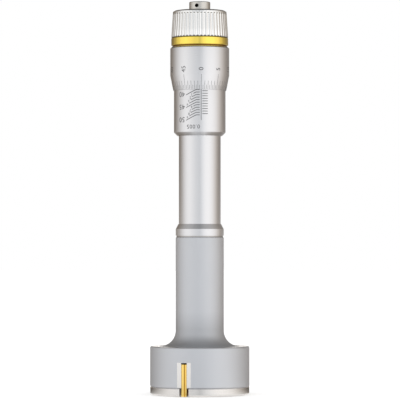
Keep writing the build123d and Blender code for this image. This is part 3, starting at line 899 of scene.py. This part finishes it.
# %% Build the tree that adds a row of marks
row_tree, given = new_tree(
    "row_of_marks",
    {
        "Count": "NodeSocketInt",
        "First": "NodeSocketVector",
        "Step": "NodeSocketVector",
        "Width": "NodeSocketFloat",
        "Height": "NodeSocketFloat",
        "Material": "NodeSocketMaterial",
    },
)
tree = row_tree
spots = add(
    tree,
    "GeometryNodeMeshLine",
    {"Count": given["Count"], "Start Location": given["First"], "Offset": given["Step"]},
)
blank = add(
    tree,
    "GeometryNodeMeshGrid",
    {"Size X": given["Width"], "Size Y": given["Height"], "Vertices X": 8, "Vertices Y": 3},
)
upright = add(tree, "GeometryNodeTransform", {"Geometry": blank.outputs["Mesh"], "Rotation": (radians(90), 0, 0)})
marks = add(tree, "GeometryNodeInstanceOnPoints", {"Points": spots.outputs[0], "Instance": upright.outputs[0]})
drawn = add(tree, "GeometryNodeJoinGeometry", {0: marks.outputs[0]})
tree.links.new(given["Geometry"], drawn.inputs[0])
end_tree(drawn.outputs[0], given["Material"])

# %% Build the tree that wraps a flat drawing round a turned surface
wrap_tree, given = new_tree(
    "wrap_on_turned_surface",
    {
        "Arc radius": "NodeSocketFloat",
        "Foot radius": "NodeSocketFloat",
        "Head radius": "NodeSocketFloat",
        "Foot height": "NodeSocketFloat",
        "Head height": "NodeSocketFloat",
        "Sunk": "NodeSocketFloat",
        "Proud": "NodeSocketFloat",
        "Material": "NodeSocketMaterial",
    },
)
tree = wrap_tree
thickness = maths("ADD", given["Sunk"], given["Proud"])
backwards = add(tree, "ShaderNodeCombineXYZ", {"Y": given["Sunk"]})
forwards = add(tree, "ShaderNodeCombineXYZ", {"Y": maths("MULTIPLY", thickness, -1.0)})
back = add(tree, "GeometryNodeSetPosition", {"Geometry": given["Geometry"], "Offset": backwards.outputs[0]})
front = add(
    tree,
    "GeometryNodeExtrudeMesh",
    {"Mesh": back.outputs[0], "Offset": forwards.outputs[0], "Offset Scale": 1.0, "Individual": False},
)
whole = add(tree, "GeometryNodeJoinGeometry", {0: front.outputs["Mesh"]})
tree.links.new(back.outputs[0], whole.inputs[0])
flat = add(tree, "ShaderNodeSeparateXYZ", {0: add(tree, "GeometryNodeInputPosition").outputs[0]})
under = add(
    tree,
    "ShaderNodeMapRange",
    {
        "Value": flat.outputs["Z"],
        "From Min": given["Foot height"],
        "From Max": given["Head height"],
        "To Min": given["Foot radius"],
        "To Max": given["Head radius"],
    },
)
radius = maths("SUBTRACT", under.outputs[0], flat.outputs["Y"])
spot = on_circle(radius, maths("DIVIDE", flat.outputs["X"], given["Arc radius"]), flat.outputs["Z"])
bent = add(tree, "GeometryNodeSetPosition", {"Geometry": whole.outputs[0], "Position": spot})
end_tree(bent.outputs[0], given["Material"])

# %% [markdown]
# Numerals are text objects turned into flat meshes. Their faces are cut into narrow strips, so that they can bend
# with the surface. The slanted lines of the sleeve are drawn as strokes of even width. Two more functions give the
# trees their inputs.

# %% Draw strokes and numerals flat
stroke_piece = 0.4
strip = 0.3 * mm
cap_share = 0.72  # height of a numeral as a share of the font's size


def stroke(build, points, width):
    """Adds a line of even width to a flat drawing, cut into short pieces along its length."""
    centre = []
    for (x0, z0), (x1, z1) in zip(points, points[1:]):
        pieces = max(1, round(sqrt((x1 - x0) ** 2 + (z1 - z0) ** 2) / stroke_piece))
        centre += [Vector((x0 + (x1 - x0) * n / pieces, z0 + (z1 - z0) * n / pieces)) for n in range(pieces)]
    centre.append(Vector(points[-1]))
    rails = []
    for number, spot in enumerate(centre):
        along = centre[min(number + 1, len(centre) - 1)] - centre[max(number - 1, 0)]
        side = Vector((-along.y, along.x)).normalized() * width / 2
        rails.append([build.verts.new((p.x * mm, 0, p.y * mm)) for p in (spot + side, spot - side)])
    for (left_0, right_0), (left_1, right_1) in zip(rails, rails[1:]):
        build.faces.new((left_0, right_0, right_1, left_1))


def numeral(build, text, height, centre, turned, stretch=1.0):
    """Adds a numeral to a flat drawing, with its height and centre in millimetres and its turn in degrees."""
    curve = bpy.data.curves.new("numeral", "FONT")
    curve.body = text
    curve.size = height * mm / cap_share
    curve.align_x = "CENTER"
    curve.align_y = "CENTER"
    curve.resolution_u = 4
    curve.space_character = stretch
    holder = new_object("numeral", curve)
    mesh = bpy.data.meshes.new_from_object(holder.evaluated_get(bpy.context.evaluated_depsgraph_get()))
    bpy.data.objects.remove(holder)
    glyph = bmesh.new()
    glyph.from_mesh(mesh)
    turn = Matrix.Rotation(radians(turned), 4, "Z")
    bmesh.ops.transform(glyph, matrix=turn, verts=glyph.verts)
    bmesh.ops.remove_doubles(glyph, verts=glyph.verts, dist=touching)
    cuts = int(max(abs(v.co.x) for v in glyph.verts) / strip)
    for n in range(-cuts, cuts + 1):
        everything = glyph.verts[:] + glyph.edges[:] + glyph.faces[:]
        bmesh.ops.bisect_plane(glyph, geom=everything, plane_co=(n * strip, 0, 0), plane_no=(1, 0, 0))
    bmesh.ops.triangulate(glyph, faces=glyph.faces)
    bmesh.ops.dissolve_degenerate(glyph, dist=2 * touching, edges=glyph.edges)
    stand = Matrix.Translation((centre[0] * mm, 0, centre[1] * mm)) @ Matrix.Rotation(radians(90), 4, "X")
    bmesh.ops.transform(glyph, matrix=stand, verts=glyph.verts)
    glyph.to_mesh(mesh)
    glyph.free()
    build.from_mesh(mesh)
    bpy.data.meshes.remove(mesh)


def flat_mesh(name, build):
    """Turns a flat drawing into a mesh."""
    mesh = bpy.data.meshes.new(name)
    build.to_mesh(mesh)
    build.free()
    return mesh


print("strokes and numerals can be drawn")


# %% Give the two trees their sizes
def row(count, first, step, width, height):
    """Gives the inputs for a row of marks, from sizes in millimetres."""
    return (
        row_tree,
        {
            "Count": count,
            "First": [v * mm for v in first],
            "Step": [v * mm for v in step],
            "Width": width * mm,
            "Height": height * mm,
            "Material": black_fill,
        },
    )


def wrap(arc_radius, foot_radius, head_radius, foot_height, head_height):
    """Gives the inputs for wrapping a drawing, from sizes in millimetres."""
    return (
        wrap_tree,
        {
            "Arc radius": arc_radius * mm,
            "Foot radius": foot_radius * mm,
            "Head radius": head_radius * mm,
            "Foot height": foot_height * mm,
            "Head height": head_height * mm,
            "Sunk": 0.05 * mm,
            "Proud": 0.01 * mm,
            "Material": black_fill,
        },
    )


print("rows can be placed and drawings wrapped")

# %% [markdown]
# One turn of the thimble is 0.5 mm of the screw and 50 divisions. Each division is cut in two by a shorter mark,
# and every fifth line runs on up the bevel to a numeral, which lies on its side. The upper part of a long line is a
# mark of its own that starts a hair above the lower part, so that no wall of the two lies in the same place.

# %% Mark the thimble
circle = 2 * pi * thimble_radius
bevel_top = thimble_edge + thimble_bevel
unit_top = thimble_edge + 3.35
half_top = thimble_edge + 1.7
edge_gap = 0.12
line_width = 0.12
line_gap = 0.01
numeral_height = thimble_edge + 8.0
numeral_size = 1.9

drawing = bmesh.new()
for number in range(10):
    arc = circle * number / 10
    numeral(drawing, str(5 * number), numeral_size, (arc, numeral_height), 90)

foot = thimble_edge + edge_gap
unit_height = unit_top - foot
half_height = half_top - foot
long_foot = unit_top + line_gap
long_height = bevel_top - 0.1 - long_foot
thimble_marks = run_trees(
    "thimble_scale",
    flat_mesh("thimble_drawing", drawing),
    black_fill,
    [
        row(50, (0, 0, foot + unit_height / 2), (circle / 50, 0, 0), line_width, unit_height),
        row(50, (circle / 100, 0, foot + half_height / 2), (circle / 50, 0, 0), line_width, half_height),
        row(10, (0, 0, long_foot + long_height / 2), (circle / 10, 0, 0), line_width, long_height),
        wrap(thimble_radius, thimble_edge_radius, thimble_radius, thimble_edge, bevel_top),
    ],
)
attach(thimble_marks, "thimble_group")
print("thimble scale:", len(thimble_marks.data.polygons), "faces")

# %% [markdown]
# The sleeve is numbered upside down, because the instrument is read with its head pointing away from the hand.
# Lines for whole millimetres start beside the index line and slant down to their numerals. The half millimetres
# are short marks on the other side.

# %% Mark the sleeve
sleeve_zero = thimble_edge - 0.1
first_slant = 2.05
slant_drop = 0.50
fan_width = 0.24
index_width = 0.2
index_gap = 0.6
half_mark_start = 0.45
half_mark = 2.2
whole_line_ends = [6.2, 3.15, 3.75, 4.2, 4.85]  # how far from the index line, for five readings in a row
digit_arcs = [0, 3.82, 4.35, 4.95, 5.6]  # the same for the middles of the small digits
digit_size = 1.0
tens_size = 2.05
tens_arc = 8.3
tens_drop = 1.7
note_size = 1.6
note_arc = 3.2
note_height = sleeve_foot + 3.45

drawing = bmesh.new()
for reading in range(11):
    z = sleeve_zero - reading
    end = whole_line_ends[reading % 5]
    end_z = z - (end - first_slant) * slant_drop
    points = [(-index_gap, z), (-first_slant + 0.3, z), (-first_slant, z - 0.04), (-end, end_z)]
    stroke(drawing, points, fan_width)
    if reading % 5:
        arc = digit_arcs[reading % 5]
        numeral(drawing, str(reading), digit_size, (-arc, z - (arc - first_slant) * slant_drop), 180)
    else:
        numeral(drawing, str(40 + reading), tens_size, (-tens_arc, z - tens_drop), 180, 1.08)
numeral(drawing, "0.005", note_size, (-note_arc, note_height), 180, 1.12)

index_foot = sleeve_foot + 5.9
index_height = sleeve_zero + 2 - index_foot
sleeve_marks = run_trees(
    "sleeve_scale",
    flat_mesh("sleeve_drawing", drawing),
    black_fill,
    [
        row(1, (0, 0, index_foot + index_height / 2), (0, 0, 0), index_width, index_height),
        row(10, (half_mark_start + half_mark / 2, 0, sleeve_zero - 0.5), (0, 0, -1), half_mark, fan_width),
        wrap(sleeve_radius, sleeve_radius, sleeve_radius, sleeve_foot, sleeve_top),
    ],
)
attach(sleeve_marks, "frame")
print("sleeve scale:", len(sleeve_marks.data.polygons), "faces")

# %% [markdown]
# ## Dress the CAD nodes
# The other nodes keep their CAD shape. Each gets the metal that it is made of, in place of the plain one that the
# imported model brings.

# %% Give every CAD node its material
dress = {
    "measuring_head": matt_chrome,
    "end_cap": ground_chrome,
    "end_cap_screws": black_steel,
    "measuring_cone": hardened_steel,
    "push_rod": hardened_steel,
    "thrust_ball": hardened_steel,
    "spring_collar": hardened_steel,
    "lower_rod_bush": bronze,
    "upper_rod_bush": bronze,
    "barrel_tube": satin_chrome,
    "collar_nut": collar_chrome_painted_shade,
    "spindle_nut": bronze,
    "adjusting_nut": black_steel,
    "spindle": hardened_steel,
    "spacer_washer": brown_steel_painted_reflection,
    "thimble_clamp_nut": black_steel,
    "colour_ring": yellow_anodised,
    "ratchet_wheel": hardened_steel,
    "click_spring": spring_wire,
    "ratchet_screw": turned_steel,
}
for number in (1, 2, 3):
    dress[f"jaw_{number}"] = brown_steel_painted_reflection
    dress[f"contact_strip_{number}"] = gold_nitride
for node, material in dress.items():
    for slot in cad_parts[node].material_slots:
        slot.material = material
print(len(dress), "nodes dressed")

# %% [markdown]
# Four coil springs shorten as the contacts come out: the spring round the push rod, and a small one behind each jaw.
# Each is drawn as a copy of its CAD shape in spring wire, fixed to the frame. Its joint and how far its free end
# comes in are listed, but the copy does not flatten with the joint.

# %% Copy the springs in spring wire
springs = {
    # node: the joint, the direction away from the fixed end, and how far the free end comes in, in metres
    "return_spring": ("cone_travel", Vector((0, 0, 1)), 10 * mm),
}
for number in (1, 2, 3):
    low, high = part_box(f"contact_strip_{number}")
    inwards = -Vector((low.x + high.x, low.y + high.y, 0)).normalized()
    springs[f"jaw_return_spring_{number}"] = (f"contact_{number}_slide", inwards, 5 * mm)

for node, (joint, axis, travel) in springs.items():
    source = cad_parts[node]
    mesh = source.data.copy()
    mesh.transform(source.matrix_world)
    mesh.materials.clear()
    coil = plain_piece(node + "_coil", mesh, spring_wire)
    along = [vertex.co.dot(axis) for vertex in mesh.vertices]
    length = max(along) - min(along)
    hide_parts(node)
    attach(coil, "frame")
    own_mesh(coil)
    print(coil.name, "is", round(length / mm, 2), "mm long and shortens by", round(travel / mm, 1))
